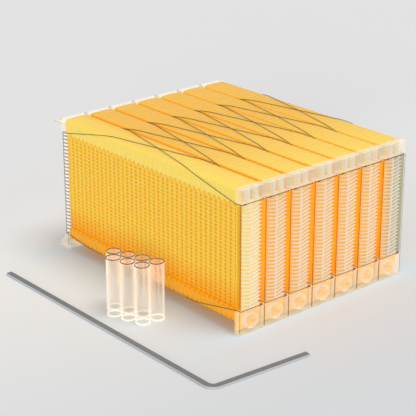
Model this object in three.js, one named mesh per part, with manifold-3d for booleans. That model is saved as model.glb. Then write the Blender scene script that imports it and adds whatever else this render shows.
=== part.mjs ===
// A pack of seven flow-comb honey frames, with its seven harvest tubes and its key.
// Millimetres. +X runs across the frames, +Y from the harvest end to the rear end, +Z is up, and the
// origin is the middle of the fourth frame's front foot, on the floor.
import * as THREE from "three";
import { mergeVertices } from "three/addons/utils/BufferGeometryUtils.js";
import Module from "manifold-3d";

const wasm = await Module();
wasm.setup();

// One frame
const FRAMES = 7;
const PITCH = 51.5;
const FRAME_LENGTH = 460;
const FRAME_HEIGHT = 238;
const FIT = 0.3; // the play between pieces that meet
const OVERLAP = 1; // how far the parts of one piece run into each other, and cutters past a face
const WELD = 1e-4; // corners nearer than this are one

// Comb: vertical slices, half a cell wide on each side, that stand in a row along the frame
const SLICES = 75;
const CELL_WIDTH = 42.4; // across the comb at the mouths of the cells
const BAND_WIDTH = 48; // across the closed bands above and below the cells
const BAND_SHOULDER = 5;
const SHOULDER_STEPS = 4;
const COMB_BOTTOM = 18;
const CELLS_BOTTOM = 38;
const CELLS_TOP = 211;
const CELL_SHIFT = 3.2; // half a cell's height, the travel of every second slice

// Clear end frames
const END_DEPTH = 13;
const END_WIDTH = PITCH - FIT;
const CAP_HEIGHT = 23;
const CAP_CHAMFER = 2;
const RIB_WIDTH = 39.4; // the ribs and the slices' ends behind them, between the rails
const RAIL = { width: 0.9, depth: 2.5 }; // the thin upright at each edge, from foot to cap
const FRONT_RECESS = 2; // how far the ribs stand back between the cap and the foot
const REAR_RECESS = 5;
const HEEL_RECESS = 4; // the same for the rear rails and the top of the foot
const BLOCK_HEIGHT = 38;
const KEY_SLOT = { width: 12, bottom: 219, top: 233 };
const OUTLET = { radius: 12.4, height: 19.5, sides: 24 };
const REAR_BLOCK_HEIGHT = 26;
const REAR_FOOT_REACH = 15;
const REAR_TOE_HEIGHT = 5;
const LUG = { width: 44, reach: 22, thickness: 2.5, height: 225 };

// Plugs, wires, tubes and key
const PLUG = { radius: 12.1, recess: 0.4, depth: 5.6, sides: 16 };
const WIRE_RADIUS = 0.6;
const WIRE_SIDES = 4;
const WIRE_LIFT = 1.44; // how much higher the second strand lies where the two cross
const WIRE_ENTRY = 22.5; // where the strands run between a rail and the ribs
const WIRE_TURN = 2; // how far a strand keeps off the sharp corner of a shoulder
const ANCHOR_GAP = 1.6; // from the end wall's cap or foot to the middle of the wire
const WIRE_CROSSING = 130; // from mid-frame to where a strand leaves the top or the underside
const TUBE = { radius: 12, wall: 1.4, length: 98, sides: 24 };
const KEY = { width: 10, thickness: 4, inner: 8, shaft: 510, grip: 165, angle: 94.4, steps: 12 };
const SIDE_OF_PACK = -PITCH * FRAMES / 2;
const TUBE_ROWS = [
  { count: 3, start: [SIDE_OF_PACK - 97, 180.5], step: [7.9, -26] },
  { count: 4, start: [SIDE_OF_PACK - 81, 201], step: [8.7, -25.2] },
];
const KEY_CORNER = [SIDE_OF_PACK - 145, -110];

const FRONT = -END_DEPTH / 2;
const REAR = FRONT + FRAME_LENGTH;
const COMB_FRONT = FRONT + END_DEPTH + FIT;
const COMB_REAR = REAR - END_DEPTH - FIT;
const CAP_BOTTOM = FRAME_HEIGHT - CAP_HEIGHT;
const MIDDLE = (FRONT + REAR) / 2;

function material(color, roughness, metalness = 0, opacity = 1) {
  return new THREE.MeshStandardMaterial({
    color,
    roughness,
    metalness,
    opacity,
    transparent: opacity < 1,
  });
}

const combPlastic = () => material(0xf5b52c, 0.45);
const clearPlastic = () => material(0xf1ede2, 0.18, 0, 0.35);
const steel = () => material(0x6d675d, 0.35, 1);

function toSolid(geometry) {
  const bare = geometry.index ? geometry.toNonIndexed() : geometry.clone();
  bare.deleteAttribute("normal");
  bare.deleteAttribute("uv");
  const merged = mergeVertices(bare, WELD);
  return new wasm.Manifold(
    new wasm.Mesh({
      numProp: 3,
      vertProperties: merged.attributes.position.array,
      triVerts: new Uint32Array(merged.index.array),
    }),
  );
}

function toGeometry(solid) {
  const mesh = solid.getMesh();
  return new THREE.BufferGeometry()
    .setAttribute("position", new THREE.BufferAttribute(mesh.vertProperties, 3))
    .setIndex(new THREE.BufferAttribute(mesh.triVerts, 1));
}

function box(width, y0, y1, z0, z1) {
  return toSolid(
    new THREE.BoxGeometry(width, y1 - y0, z1 - z0).translate(0, (y0 + y1) / 2, (z0 + z1) / 2),
  );
}

// An outline in Y and Z, made as wide as asked for across X
function acrossFrame(outline, width) {
  const shape = new THREE.Shape(outline.map(([y, z]) => new THREE.Vector2(y, z)));
  const turn = new THREE.Matrix4().makeBasis(
    new THREE.Vector3(0, 1, 0),
    new THREE.Vector3(0, 0, 1),
    new THREE.Vector3(1, 0, 0),
  );
  return toSolid(
    new THREE.ExtrudeGeometry(shape, { depth: width, bevelEnabled: false })
      .applyMatrix4(turn)
      .translate(-width / 2, 0, 0),
  );
}

// A shape drawn in X and Z, run from one Y to another
function alongFrame(shape, y0, y1) {
  const steps = { depth: y1 - y0, bevelEnabled: false, curveSegments: SHOULDER_STEPS };
  return toSolid(
    new THREE.ExtrudeGeometry(shape, steps)
      .rotateX(Math.PI / 2)
      .translate(0, y1, 0),
  );
}

// A closed band of the comb, with round shoulders on the edges that face away from the cells
function band(outer, inner) {
  const half = BAND_WIDTH / 2;
  const side = Math.sign(outer - inner);
  const shoulder = outer - side * BAND_SHOULDER;
  const shape = new THREE.Shape()
    .moveTo(-half, inner)
    .lineTo(half, inner)
    .lineTo(half, shoulder)
    .quadraticCurveTo(half, outer, half - BAND_SHOULDER, outer)
    .lineTo(-half + BAND_SHOULDER, outer)
    .quadraticCurveTo(-half, outer, -half, shoulder)
    .closePath();
  return alongFrame(shape, COMB_FRONT, COMB_REAR);
}

// Every second slice, joined at one end like the teeth of a rake
function rake(first, spineOuter, spineInner, tip) {
  const slicePitch = (COMB_REAR - COMB_FRONT + FIT) / SLICES;
  const outline = [[COMB_REAR, spineOuter], [COMB_FRONT, spineOuter]];
  if (first > 0) outline.push([COMB_FRONT, spineInner]);
  for (let slice = first; slice < SLICES; slice += 2) {
    const y0 = COMB_FRONT + slice * slicePitch;
    const y1 = y0 + slicePitch - FIT;
    if (slice > 0) outline.push([y0, spineInner]);
    outline.push([y0, tip], [y1, tip]);
    if (slice < SLICES - 1) outline.push([y1, spineInner]);
  }
  const endsOnSlice = (SLICES - 1 - first) % 2 === 0;
  if (!endsOnSlice) outline.push([COMB_REAR, spineInner]);
  return acrossFrame(outline, CELL_WIDTH);
}

function fixedComb() {
  const tip = CELLS_TOP - CELL_SHIFT - FIT;
  return rake(0, COMB_BOTTOM, CELLS_BOTTOM, tip).add(band(COMB_BOTTOM, CELLS_BOTTOM));
}

function movingComb() {
  const tip = CELLS_BOTTOM + CELL_SHIFT + FIT;
  return rake(1, FRAME_HEIGHT, CELLS_TOP, tip).add(band(FRAME_HEIGHT, CELLS_TOP));
}

function railPair(y, foot) {
  const rail = box(RAIL.width, y, y + RAIL.depth, foot - OVERLAP, CAP_BOTTOM + OVERLAP);
  const x = (END_WIDTH - RAIL.width) / 2;
  return rail.translate([x, 0, 0]).add(rail.translate([-x, 0, 0]));
}

function frontEndFrame() {
  const back = FRONT + END_DEPTH;
  const cap = acrossFrame(
    [
      [back, CAP_BOTTOM],
      [back, FRAME_HEIGHT],
      [FRONT + CAP_CHAMFER, FRAME_HEIGHT],
      [FRONT, FRAME_HEIGHT - CAP_CHAMFER],
      [FRONT, CAP_BOTTOM],
    ],
    END_WIDTH,
  );
  const wallFront = FRONT + FRONT_RECESS;
  const wall = box(RIB_WIDTH, wallFront, back, BLOCK_HEIGHT - OVERLAP, CAP_BOTTOM + OVERLAP);
  const block = box(END_WIDTH, FRONT, back, 0, BLOCK_HEIGHT);
  const rails = railPair(FRONT, BLOCK_HEIGHT);
  const { width, bottom, top } = KEY_SLOT;
  const slot = box(width, FRONT - OVERLAP, back + OVERLAP, bottom, top);
  const outlet = toSolid(
    new THREE.CylinderGeometry(OUTLET.radius, OUTLET.radius, END_DEPTH + 2 * OVERLAP, OUTLET.sides)
      .translate(0, FRONT + END_DEPTH / 2, OUTLET.height),
  );
  return cap.add(wall).add(block).add(rails).subtract(slot).subtract(outlet);
}

function rearEndFrame() {
  const inside = REAR - END_DEPTH;
  const cap = box(END_WIDTH, inside, REAR, CAP_BOTTOM, FRAME_HEIGHT);
  const lugTop = LUG.height + LUG.thickness;
  const lug = box(LUG.width, REAR - OVERLAP, REAR + LUG.reach, LUG.height, lugTop);
  const wallBack = REAR - REAR_RECESS;
  const wall = box(
    RIB_WIDTH, inside, wallBack, REAR_BLOCK_HEIGHT - OVERLAP, CAP_BOTTOM + OVERLAP,
  );
  const rails = railPair(REAR - HEEL_RECESS - RAIL.depth, REAR_BLOCK_HEIGHT);
  const foot = acrossFrame(
    [
      [inside, 0],
      [REAR + REAR_FOOT_REACH, 0],
      [REAR + REAR_FOOT_REACH, REAR_TOE_HEIGHT],
      [REAR - HEEL_RECESS, REAR_BLOCK_HEIGHT],
      [inside, REAR_BLOCK_HEIGHT],
    ],
    END_WIDTH,
  );
  return cap.add(lug).add(wall).add(foot).add(rails);
}

function outletPlug() {
  const { radius, recess, depth, sides } = PLUG;
  return toSolid(
    new THREE.CylinderGeometry(radius, radius, depth, sides)
      .translate(0, FRONT + recess + depth / 2, OUTLET.height),
  );
}

// A wire along a route of straight runs, mitred where it turns
function wire(corners) {
  const route = corners.map((corner) => new THREE.Vector3(...corner));
  const runs = route.slice(1).map((point, i) => point.clone().sub(route[i]).normalize());
  const last = runs.length;
  const rings = route.map((point, i) => {
    const before = runs[Math.max(i - 1, 0)];
    const after = runs[Math.min(i, last - 1)];
    const across = new THREE.Vector3(0, 0, 1).cross(before.clone().add(after)).normalize();
    return { point, across, over: before.clone().add(after).normalize().cross(across) };
  });
  rings[0].point.addScaledVector(runs[0], -WIRE_RADIUS);
  rings[last].point.addScaledVector(runs[last - 1], WIRE_RADIUS);
  const geometry = new THREE.CylinderGeometry(1, 1, last, WIRE_SIDES, last);
  const position = geometry.attributes.position;
  for (let i = 0; i < position.count; i++) {
    const ring = rings[Math.round(position.getY(i) + last / 2)];
    const place = ring.point.clone()
      .addScaledVector(ring.across, position.getX(i) * WIRE_RADIUS)
      .addScaledVector(ring.over, -position.getZ(i) * WIRE_RADIUS);
    position.setXYZ(i, place.x, place.y, place.z);
  }
  return toSolid(geometry);
}

// A loop in a figure of eight: across both end walls, along the sides of a band, and crossing itself
// over the band's closed face
function wireLoop(frontAnchor, rearAnchor, outer, inner) {
  const off = WIRE_RADIUS + FIT;
  const sideX = BAND_WIDTH / 2 + off;
  const frontY = FRONT + FRONT_RECESS - off;
  const rearY = REAR - REAR_RECESS + off;
  const away = Math.sign(outer - inner);
  const combFace = END_DEPTH + FIT - off;
  const entry = END_DEPTH / 2;
  const flat = outer + away * off;
  const strands = [[1, 0], [-1, WIRE_LIFT]];
  let loop = wire([[-WIRE_ENTRY, frontY, frontAnchor], [WIRE_ENTRY, frontY, frontAnchor]]);
  loop = loop.add(wire([[-WIRE_ENTRY, rearY, rearAnchor], [WIRE_ENTRY, rearY, rearAnchor]]));
  for (const [hand, lift] of strands) {
    loop = loop.add(
      wire([
        [-hand * WIRE_ENTRY, frontY, frontAnchor],
        [-hand * WIRE_ENTRY, FRONT + entry, frontAnchor],
        [-hand * sideX, FRONT + combFace, frontAnchor],
        [-hand * sideX, MIDDLE - WIRE_CROSSING - WIRE_TURN, outer - away * WIRE_TURN],
        [-hand * (sideX - WIRE_TURN - off), MIDDLE - WIRE_CROSSING, flat],
        [0, MIDDLE, flat + away * lift],
        [hand * (sideX - WIRE_TURN - off), MIDDLE + WIRE_CROSSING, flat],
        [hand * sideX, MIDDLE + WIRE_CROSSING + WIRE_TURN, outer - away * WIRE_TURN],
        [hand * sideX, REAR - combFace, rearAnchor],
        [hand * WIRE_ENTRY, REAR - entry, rearAnchor],
        [hand * WIRE_ENTRY, rearY, rearAnchor],
      ]),
    );
  }
  return loop;
}

function topWire() {
  return wireLoop(CAP_BOTTOM - ANCHOR_GAP, CAP_BOTTOM - ANCHOR_GAP, FRAME_HEIGHT, CELLS_TOP);
}

function bottomWire() {
  const rearAnchor = REAR_BLOCK_HEIGHT + ANCHOR_GAP;
  return wireLoop(BLOCK_HEIGHT + ANCHOR_GAP, rearAnchor, COMB_BOTTOM, CELLS_BOTTOM);
}

function harvestTube() {
  const { radius, wall, length, sides } = TUBE;
  const bore = radius - wall;
  const profile = [[bore, 0], [radius, 0], [radius, length], [bore, length], [bore, 0]];
  return toSolid(
    new THREE.LatheGeometry(profile.map(([r, z]) => new THREE.Vector2(r, z)), sides)
      .rotateX(Math.PI / 2),
  );
}

// A flat bar, bent flat-wise into a long shaft and a short grip
function keyBar() {
  const { width, thickness, inner, shaft, grip, angle, steps } = KEY;
  const outer = inner + width;
  const end = Math.PI + THREE.MathUtils.degToRad(180 - angle);
  const reach = new THREE.Vector2(-Math.sin(end), Math.cos(end)).multiplyScalar(grip);
  const atEnd = (radius) => new THREE.Vector2(Math.cos(end), Math.sin(end)).multiplyScalar(radius);
  const tip = atEnd(outer).add(reach);
  const tipInner = atEnd(inner).add(reach);
  const shape = new THREE.Shape()
    .moveTo(-inner, shaft)
    .lineTo(-outer, shaft)
    .lineTo(-outer, 0)
    .absarc(0, 0, outer, Math.PI, end, false)
    .lineTo(tip.x, tip.y)
    .lineTo(tipInner.x, tipInner.y)
    .absarc(0, 0, inner, end, Math.PI, true)
    .closePath();
  const bar = { depth: thickness, bevelEnabled: false, curveSegments: steps };
  return toSolid(new THREE.ExtrudeGeometry(shape, bar));
}

const pack = new THREE.Group();

function place(name, solid, finish, x, y = 0) {
  const mesh = new THREE.Mesh(toGeometry(solid), finish());
  mesh.name = name;
  mesh.position.set(x, y, 0);
  pack.add(mesh);
}

const framePieces = [
  ["front_end_frame", frontEndFrame(), clearPlastic],
  ["rear_end_frame", rearEndFrame(), clearPlastic],
  ["comb_fixed", fixedComb(), combPlastic],
  ["comb_moving", movingComb(), combPlastic],
  ["outlet_plug", outletPlug(), clearPlastic],
  ["top_wire", topWire(), steel],
  ["bottom_wire", bottomWire(), steel],
];

for (let number = 1; number <= FRAMES; number++) {
  const x = (number - (FRAMES + 1) / 2) * PITCH;
  for (const [name, solid, finish] of framePieces) place(`${name}_${number}`, solid, finish, x);
}

let tubeNumber = 1;
for (const { count, start, step } of TUBE_ROWS) {
  for (let i = 0; i < count; i++) {
    const [x, y] = [start[0] + i * step[0], start[1] + i * step[1]];
    place(`harvest_tube_${tubeNumber}`, harvestTube(), clearPlastic, x, y);
    tubeNumber += 1;
  }
}

const [keyX, keyY] = KEY_CORNER.map((corner) => corner + KEY.inner + KEY.width);
place("key", keyBar(), steel, keyX, keyY);

export default pack;
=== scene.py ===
"""A pack of seven flow-comb honey frames with its harvest tubes and key, built round its CAD frame.

Lengths are metres. +X runs across the frames, +Y from the harvest end to the rear, +Z is up.
"""

import math

import bmesh
import bpy
from bpy.props import FloatProperty, FloatVectorProperty, IntProperty, PointerProperty
from mathutils import Matrix, Vector


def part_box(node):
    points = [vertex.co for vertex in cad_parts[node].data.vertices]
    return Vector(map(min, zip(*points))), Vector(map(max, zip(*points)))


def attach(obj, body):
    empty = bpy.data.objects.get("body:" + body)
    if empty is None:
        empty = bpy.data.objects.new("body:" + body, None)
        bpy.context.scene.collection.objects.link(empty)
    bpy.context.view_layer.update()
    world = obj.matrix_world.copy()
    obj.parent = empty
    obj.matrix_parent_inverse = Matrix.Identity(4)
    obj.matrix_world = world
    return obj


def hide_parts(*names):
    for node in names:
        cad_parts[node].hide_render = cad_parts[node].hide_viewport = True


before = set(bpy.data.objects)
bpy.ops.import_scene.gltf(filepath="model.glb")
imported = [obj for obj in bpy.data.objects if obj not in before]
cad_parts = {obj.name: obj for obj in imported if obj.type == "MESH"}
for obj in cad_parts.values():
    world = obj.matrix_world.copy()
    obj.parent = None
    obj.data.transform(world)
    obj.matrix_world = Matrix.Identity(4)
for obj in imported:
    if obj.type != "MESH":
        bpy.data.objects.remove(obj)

bl_info = {
    "name": "Flow Comb Pack",
    "version": (1, 0, 0),
    "blender": (4, 5, 0),
    "location": "3D View > Sidebar > Flow Comb",
    "description": "Builds honeycomb slices, clear end frames, wires, tubes and key round the CAD frame",
    "category": "Object",
}

MM = 0.001
NUMBERS = range(1, 8)
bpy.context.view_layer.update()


def node_box(kind, number=4):
    """The lowest and highest corner of one frame's CAD node; the fourth frame stands at X = 0."""
    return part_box(f"{kind}_{number}")


def frame_offset(number):
    low, high = node_box("comb_fixed", number)
    return (low.x + high.x) / 2


END_LOW, END_HIGH = node_box("front_end_frame")
REAR_REACH = node_box("rear_end_frame")[1].y
FIXED_LOW, FIXED_HIGH = node_box("comb_fixed")
PLUG_LOW, PLUG_HIGH = node_box("outlet_plug")
TUBE_LOW, TUBE_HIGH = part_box("harvest_tube_1")

HALF_PITCH = END_HIGH.x
FRONT = END_LOW.y
END_DEPTH = END_HIGH.y - FRONT
END_GAP = FIXED_LOW.y - END_HIGH.y
REAR = FIXED_HIGH.y + END_GAP + END_DEPTH
MIDDLE = (FRONT + REAR) / 2
TOP = END_HIGH.z
PACK_HALF = Vector((7 * HALF_PITCH, MIDDLE - FRONT, 0))
CLEAR, FROST_AND_HIGHLIGHT, SHADE, WINDOW, SOLID, WEB = range(6)


# Sizes and colours that a user would change


def length_property(name, description, default):
    return FloatProperty(name=name, description=description, default=default, unit="LENGTH")


def angle_property(name, description, degrees):
    return FloatProperty(
        name=name, description=description, default=math.radians(degrees), subtype="ANGLE"
    )


def colour_property(name, description, default):
    return FloatVectorProperty(name=name, description=description, default=default, subtype="COLOR")


class CombSettings(bpy.types.PropertyGroup):
    slices: IntProperty(name="Slices", description="Upright slices in one frame", default=75, min=3)
    rows: IntProperty(name="Rows", description="Cells in one upright column", default=27, min=2)
    row: length_property("Row height", "From cell to cell up a column", 6.42 * MM)
    wall: length_property("Cell wall", "Thickness of a cell's wall", 0.9 * MM)
    mouth: length_property(
        "Mouth width", "From mouth to mouth of the cells, across the comb", 42.4 * MM
    )
    recess: length_property(
        "Fixed slice recess", "How far a fixed slice's mouths stand back", 0.7 * MM
    )
    deep_cell: length_property("Deep cells", "Depth of a fixed slice's cells", 6 * MM)
    shallow: length_property("Shallow cells", "Depth of a moving slice's cells", 1.4 * MM)
    tilt: angle_property("Cell tilt", "Upward slope of a cell from its floor to its mouth", 12)
    gap: length_property("Slice gap", "Play between two slices", 0.22 * MM)
    upper_band: length_property("Upper band", "Height of the band above the cells", 24 * MM)
    lower_band: length_property("Lower band", "Height of the band below the cells", 19 * MM)
    tooth: length_property(
        "Tooth", "How much farther a moving slice's bands reach towards the cells", 5 * MM
    )
    shoulder: length_property("Shoulder", "Radius along a band's outer edges", 6 * MM)
    relief: length_property("Relief", "How far a moving slice's bands stand back", 0.3 * MM)
    travel: length_property("Travel", "Room for a moving slice below its foot", 3.4 * MM)
    plate: length_property("End plate", "Thickness of the comb's end plates", 1.5 * MM)
    light: colour_property("Light", "Colour of thick, lit comb", (0.87, 0.67, 0.115))
    # Painted shade: the colour that the cells darken to further in from their mouths.
    deep: colour_property("Deep", "Colour of the cells", (0.7, 0.46, 0.01))
    lip: colour_property("Lip", "Colour of the cells' mouths", (0.73, 0.56, 0.1))
    # Painted shade in the valleys between two frames' bands.
    valley_shade: colour_property("Valley", "Colour between two frames' bands", (0.8, 0.34, 0.0))
    # Painted glow: the comb emits light in place of light coming through its thin walls.
    glow: colour_property("Glow", "Light that comes through the thin walls", (0.72, 0.4, 0.015))
    deep_glow: colour_property("Deep glow", "The same deep in a cell", (0.64, 0.31, 0.0))
    band_glow: colour_property("Band glow", "The same in the upper band", (0.5, 0.36, 0.07))
    glow_strength: FloatProperty(
        name="Glow strength", description="How much light comes through", default=0.3
    )
    # Painted light: the cells that face another frame lie in shade, and are painted a brighter, redder
    # orange.
    between: colour_property("Between", "Colour of the cells between two frames", (0.9, 0.46, 0.01))
    sill: colour_property("Sill", "Colour of the slices' lowest part", (0.74, 0.3, 0.0))
    # Painted shade: the top faces are painted this darker orange.
    crown_shade: colour_property("Crown", "Colour of the top faces", (0.76, 0.38, 0.03))


class EndSettings(bpy.types.PropertyGroup):
    skin: length_property("Skin", "Wall thickness of the caps and feet", 1.4 * MM)
    rib: length_property("Rib", "Thickness of one rib", 0.9 * MM)
    rib_reach: length_property("Rib reach", "From the divider to a rib's end", 18.6 * MM)
    cap: length_property("Cap", "Height of a cap block", 23 * MM)
    foot: length_property("Foot", "Height of a front foot block", 38 * MM)
    rear_foot: length_property("Rear foot", "Height of a rear foot", 26 * MM)
    tint: colour_property("Tint", "Colour of the clear plastic", (1.0, 0.9, 0.7))
    # Colour of the frosted ribs, which also paints the highlight lines along the caps' top edges.
    frost_and_highlight_colour: colour_property("Frost", "Colour of the frosted ribs", (1.0, 0.94, 0.84))
    shade: colour_property("Shade", "Colour of thick dark edges", (0.22, 0.17, 0.11))
    window: colour_property("Window", "Colour of the sheet behind the ribs", (0.95, 0.62, 0.2))
    # Painted light: the first frame's sheet is painted lighter, as where more light falls.
    painted_light_window: colour_property("Pale window", "Colour of the first frame's sheet", (1.0, 0.86, 0.36))
    # Painted shade: the last frame's sheet and side web, on the pack's free side, are painted grey-green.
    side: colour_property("Side window", "Colour of the last sheet's free side", (0.5, 0.54, 0.42))
    plug: colour_property("Plug", "Tint of the outlet plugs", (1.0, 0.86, 0.62))
    trough: colour_property("Trough", "Colour of the honey trough", (0.9, 0.47, 0.06))
    haze: FloatProperty(
        name="Haze", description="How much a face seen square on hides", default=0.08, subtype="FACTOR"
    )
    frost_haze: FloatProperty(
        name="Frost haze", description="How much a rib seen square on hides", default=0.4, subtype="FACTOR"
    )
    edge: FloatProperty(
        name="Edge", description="How much a face seen edge-on hides", default=0.7, subtype="FACTOR"
    )


class WireSettings(bpy.types.PropertyGroup):
    radius: length_property("Radius", "Radius of the tension wire", 0.5 * MM)
    colour: colour_property("Colour", "Colour of the wire", (0.2, 0.18, 0.14))


class KitSettings(bpy.types.PropertyGroup):
    tube_wall: length_property("Tube wall", "Wall thickness of a harvest tube", 1.4 * MM)
    tube_tint: colour_property("Tube tint", "Colour of a harvest tube", (1.0, 0.94, 0.85))
    # Painted shade: the clear tube's cut rim is painted nearly black.
    rim: colour_property("Rim", "Colour of a tube's cut rim", (0.08, 0.05, 0.05))
    key_colour: colour_property("Key colour", "Colour of the key's steel", (0.26, 0.29, 0.32))
    # Painted reflection: the key's upright sides are coloured lighter than its flat faces.
    key_side_reflection: colour_property("Key side", "Colour of the key's polished sides", (0.6, 0.61, 0.62))


class StageSettings(bpy.types.PropertyGroup):
    azimuth: angle_property("Azimuth", "Camera's turn round the pack", -40.6)
    elevation: angle_property("Elevation", "Camera's height angle", 21.5)
    distance: length_property("Distance", "From camera to aim", 2.3514)
    aim: FloatVectorProperty(
        name="Aim", description="Point that the camera looks at", subtype="XYZ",
        default=(-0.0321, 0.2403, 0.0993),
    )
    lens: FloatProperty(name="Lens", description="Focal length in millimetres", default=120.4)
    floor: colour_property("Floor", "Colour of the floor", (0.8, 0.8, 0.8))
    # Painted shade: the floor beside the pack is darker and cooler, against the pack's warm bounce light.
    floor_beside_shade: colour_property(
        "Floor beside", "Colour of the floor beside the pack", (0.68, 0.79, 0.87)
    )
    # Painted shade: the floor nearest the camera is darker and cooler.
    floor_front_shade: colour_property(
        "Floor front", "Colour of the floor nearest the camera", (0.67, 0.69, 0.71)
    )
    # How far the painted shade beside the pack reaches.
    shade_reach: length_property("Cool reach", "How far the cooler floor reaches", 0.2)
    dome: FloatProperty(name="Dome", description="Strength of the even light all round", default=0.55)
    overhead: FloatProperty(
        name="Overhead", description="Strength of the soft light overhead", default=1.3
    )
    low: FloatProperty(name="Low", description="Strength of the low light from the side", default=1.05)


class PackSettings(bpy.types.PropertyGroup):
    comb: PointerProperty(type=CombSettings)
    ends: PointerProperty(type=EndSettings)
    wires: PointerProperty(type=WireSettings)
    kit: PointerProperty(type=KitSettings)
    stage: PointerProperty(type=StageSettings)


# Shader maths as expressions


class Field:
    """A value in a material's nodes. Arithmetic on it adds Math nodes."""

    def __init__(self, finish, socket):
        self.finish = finish
        self.socket = socket

    def maths(self, operation, other=0):
        return self.finish.node("ShaderNodeMath", {0: self, 1: other}, operation=operation)

    def __add__(self, other):
        return self.maths("ADD", other)

    def __sub__(self, other):
        return self.maths("SUBTRACT", other)

    def __mul__(self, other):
        return self.maths("MULTIPLY", other)

    def __pow__(self, other):
        return self.maths("POWER", other)

    __radd__ = __add__
    __rmul__ = __mul__


class Finish:
    """One material, made of nodes."""

    def __init__(self, name):
        self.material = bpy.data.materials.new(name)
        self.material.use_nodes = True
        self.tree = self.material.node_tree
        self.tree.nodes.clear()

    def node(self, kind, sockets, output=0, **settings):
        """Add a node, fill its sockets and settings, and give one of its outputs."""
        made = self.tree.nodes.new(kind)
        for name, value in settings.items():
            setattr(made, name, value)
        for name, value in sockets.items():
            if isinstance(value, Field):
                self.tree.links.new(value.socket, made.inputs[name])
            else:
                made.inputs[name].default_value = value
        return None if output is None else Field(self, made.outputs[output])

    def noise(self, scale, detail, stretch=(1, 1, 1)):
        spot = self.node("ShaderNodeTexCoord", {}, "Object")
        place = self.node("ShaderNodeMapping", {"Vector": spot, "Scale": stretch})
        return self.node("ShaderNodeTexNoise", {"Vector": place, "Scale": scale, "Detail": detail})

    def blend(self, factor, first, second):
        """A colour between two others, each a Field or a plain colour."""
        first, second = (shade if isinstance(shade, Field) else (*shade, 1) for shade in (first, second))
        return self.node("ShaderNodeMix", {0: factor, 6: first, 7: second}, 2, data_type="RGBA")

    def coordinate(self, axis):
        spot = self.node("ShaderNodeTexCoord", {}, "Object")
        return self.node("ShaderNodeSeparateXYZ", {0: spot}, axis)

    def ramp(self, value, low, high):
        """0 at low, 1 at high, and straight between."""
        return self.node("ShaderNodeMapRange", {0: value, 1: low, 2: high})

    def bump(self, height, strength, distance):
        sockets = {"Height": height, "Strength": strength, "Distance": distance}
        return self.node("ShaderNodeBump", sockets)

    def surface(self, sockets):
        return self.node("ShaderNodeBsdfPrincipled", sockets)

    def done(self, shader):
        self.node("ShaderNodeOutputMaterial", {"Surface": shader}, None)
        return self.material

    def see_through(self, hidden, body):
        """A finish that hides a share of what is behind it and lets the rest through."""
        clear = self.node("ShaderNodeBsdfTransparent", {"Color": PASSED_LIGHT})
        return self.done(self.node("ShaderNodeMixShader", {0: hidden, 1: clear, 2: body}))


PASSED_LIGHT = (1, 0.995, 0.985, 1)
FADE = 5 * MM
LOWER_FADE = (3 * MM, -1 * MM)
VALLEY_FADE = (4.2 * MM, 2.6 * MM)
SILL_FADE = (48 * MM, 4 * MM)
LIP_WIDTH = 0.6 * MM
CROWN_EDGE = 0.5 * MM
# Heights over which the tubes' painted reflections fade out towards the foot, and over which the painted
# light at the foot comes in.
REFLECTION_FADE = (10 * MM, 60 * MM)
FOOT_LIGHT_FADE = (4 * MM, 1 * MM)
RIM_SHADE_FADE = 0.1 * MM


def comb_plastic(settings):
    """Warm, slightly cloudy plastic, light on the upper bands, with painted shade deep in the cells, in
    the valleys between frames and on the top faces, painted light in the cells between frames, and a
    painted glow.
    """
    finish = Finish("comb plastic")
    height = finish.coordinate("Z")
    low, high = FIXED_LOW.z + settings.lower_band, TOP - settings.upper_band
    upper = finish.ramp(height, high - FADE, high)
    lower = finish.ramp(height, low + LOWER_FADE[0], low + LOWER_FADE[1])
    bands = upper + lower
    across = finish.coordinate("X")
    from_valley = (across + 7 * HALF_PITCH).maths("PINGPONG", HALF_PITCH)
    inside = finish.ramp(across.maths("ABSOLUTE"), 6 * HALF_PITCH, 6 * HALF_PITCH - FADE)
    # Painted shade: the bands' faces close to a neighbouring frame, inside the pack.
    valley_shade = finish.ramp(from_valley, *VALLEY_FADE) * inside
    mouth = HALF_PITCH - settings.mouth / 2
    depth = finish.ramp(from_valley, mouth + LIP_WIDTH, mouth + settings.deep_cell)
    crown_shade = finish.ramp(height, TOP - FADE, TOP - CROWN_EDGE)
    sill = finish.ramp(height, low + SILL_FADE[0], low + SILL_FADE[1])
    rearward = finish.ramp(finish.coordinate("Y"), FRONT, MIDDLE)
    first = finish.ramp(across, -6 * HALF_PITCH, -5 * HALF_PITCH)
    cloud = finish.noise(38, 3)
    streak = finish.noise(300, 2, (0.2, 1, 0.2))
    # Painted light: inside the pack the cells take the brighter between colour.
    deep = finish.blend(inside, settings.deep, settings.between)
    lip = finish.blend(inside * 0.8 + cloud * 0.2, settings.lip, deep)
    # Painted shade in the cells: from the lip colour at the mouths to the deep colour further in.
    cells = finish.blend(depth, lip, deep)
    light = finish.blend(upper * 0.9 + cloud * 0.2 - 0.1, cells, settings.light)
    # Painted shade on the top faces: stronger towards the rear and away from the first frame, broken up by
    # a stretched noise.
    top_shade = crown_shade * (0.15 + rearward * 0.75) * (0.35 + first * 0.65)
    top = finish.blend(top_shade + (streak - 0.5) * 0.2, light, settings.crown_shade)
    top = finish.blend(sill, top, settings.sill)
    colour = finish.blend(valley_shade * bands, top, settings.valley_shade)
    # Painted glow: emission coloured by depth in the cells, by the frames between and by the upper bands.
    glow = finish.blend(depth, settings.glow, settings.deep_glow)
    glow = finish.blend(inside, glow, settings.between)
    glow = finish.blend(upper, glow, settings.band_glow)
    glow = finish.blend(valley_shade * upper, glow, settings.deep_glow)
    return finish.done(
        finish.surface(
            {
                "Base Color": colour,
                "Roughness": 0.36 + cloud * 0.14,
                "Subsurface Weight": 0.4,
                "Subsurface Radius": (0.9, 0.5, 0.15),
                "Subsurface Scale": 4 * MM,
                "Emission Color": glow,
                "Emission Strength": settings.glow_strength,
                "Normal": finish.bump(streak, 0.12, 0.4 * MM),
            }
        )
    )


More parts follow.
